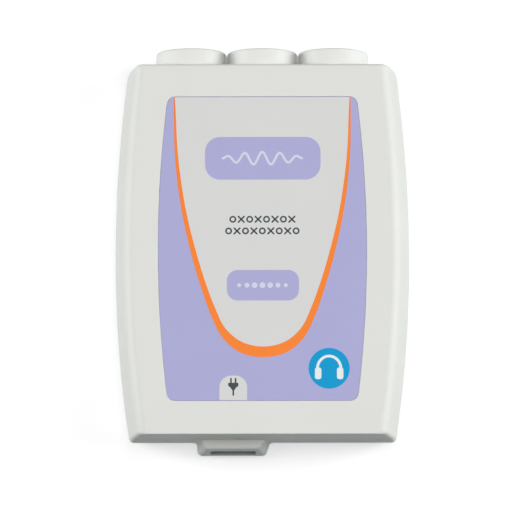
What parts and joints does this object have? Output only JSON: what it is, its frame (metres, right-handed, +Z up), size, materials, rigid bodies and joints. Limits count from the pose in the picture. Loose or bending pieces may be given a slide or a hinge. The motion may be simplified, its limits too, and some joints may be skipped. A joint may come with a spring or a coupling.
{
  "type": "audiometer",
  "caption": "Flat box for automatic hearing tests: bowed moulded case with an inlaid face label, round-collared jack sockets at one end and a hooded USB inlet at the other.",
  "frame": {"origin": "on the surface that the feet stand on, under the middle of the case", "axes": "+Z up out of the label face, +Y towards the jack sockets, +X to the right as the label is read"},
  "size_m": [0.111, 0.1517, 0.032],
  "materials": {
    "case_plastic": "fine spark texture, satin",
    "label_film": "semi-gloss printed film",
    "plated_metal": "nickel plated",
    "black_moulding": "moulded, matt",
    "spring_bronze": "rolled strip",
    "board_laminate": "green solder mask",
    "screw_steel": "zinc plated",
    "foot_rubber": "matt"
  },
  "bodies": {
    "case": {"upper_case": "case_plastic", "lower_case": "case_plastic", "jack_panel": "case_plastic", "label_overlay": "label_film", "left_ear_bushing": "plated_metal", "right_ear_bushing": "plated_metal", "response_bushing": "plated_metal", "left_ear_washer": "plated_metal", "right_ear_washer": "plated_metal", "response_washer": "plated_metal", "left_ear_nut": "plated_metal", "right_ear_nut": "plated_metal", "response_nut": "plated_metal", "left_ear_jack_body": "black_moulding", "right_ear_jack_body": "black_moulding", "response_jack_body": "black_moulding", "left_ear_rest_contact": "spring_bronze", "right_ear_rest_contact": "spring_bronze", "response_rest_contact": "spring_bronze", "main_board": "board_laminate", "board_screw_1": "screw_steel", "board_screw_2": "screw_steel", "board_screw_3": "screw_steel", "board_screw_4": "screw_steel", "case_screw_1": "screw_steel", "case_screw_2": "screw_steel", "case_screw_3": "screw_steel", "case_screw_4": "screw_steel", "foot_1": "foot_rubber", "foot_2": "foot_rubber", "foot_3": "foot_rubber", "foot_4": "foot_rubber", "usb_shell": "plated_metal", "usb_insert": "black_moulding", "processor_chip": "black_moulding", "codec_chip": "black_moulding", "amplifier_chip": "black_moulding", "isolator_chip": "black_moulding", "memory_chip": "black_moulding", "power_converter": "black_moulding", "crystal_can": "plated_metal", "capacitor_1": "plated_metal", "capacitor_2": "plated_metal"},
    "left_ear_leaf": {"left_ear_tip_spring": "spring_bronze"},
    "right_ear_leaf": {"right_ear_tip_spring": "spring_bronze"},
    "response_leaf": {"response_tip_spring": "spring_bronze"}
  },
  "joints": [
    {"name": "left_ear_leaf_flex", "type": "hinge", "parent": "case", "child": "left_ear_leaf", "pos_m": [-0.0268, 0.05815, 0.0215], "axis": [-1, 0, 0], "range_deg": [0, 5], "stiffness_Nm_per_rad": 0.25},
    {"name": "right_ear_leaf_flex", "type": "hinge", "parent": "case", "child": "right_ear_leaf", "pos_m": [0, 0.05815, 0.0215], "axis": [-1, 0, 0], "range_deg": [0, 5], "stiffness_Nm_per_rad": 0.25},
    {"name": "response_leaf_flex", "type": "hinge", "parent": "case", "child": "response_leaf", "pos_m": [0.0268, 0.05815, 0.0215], "axis": [-1, 0, 0], "range_deg": [0, 5], "stiffness_Nm_per_rad": 0.25}
  ]
}
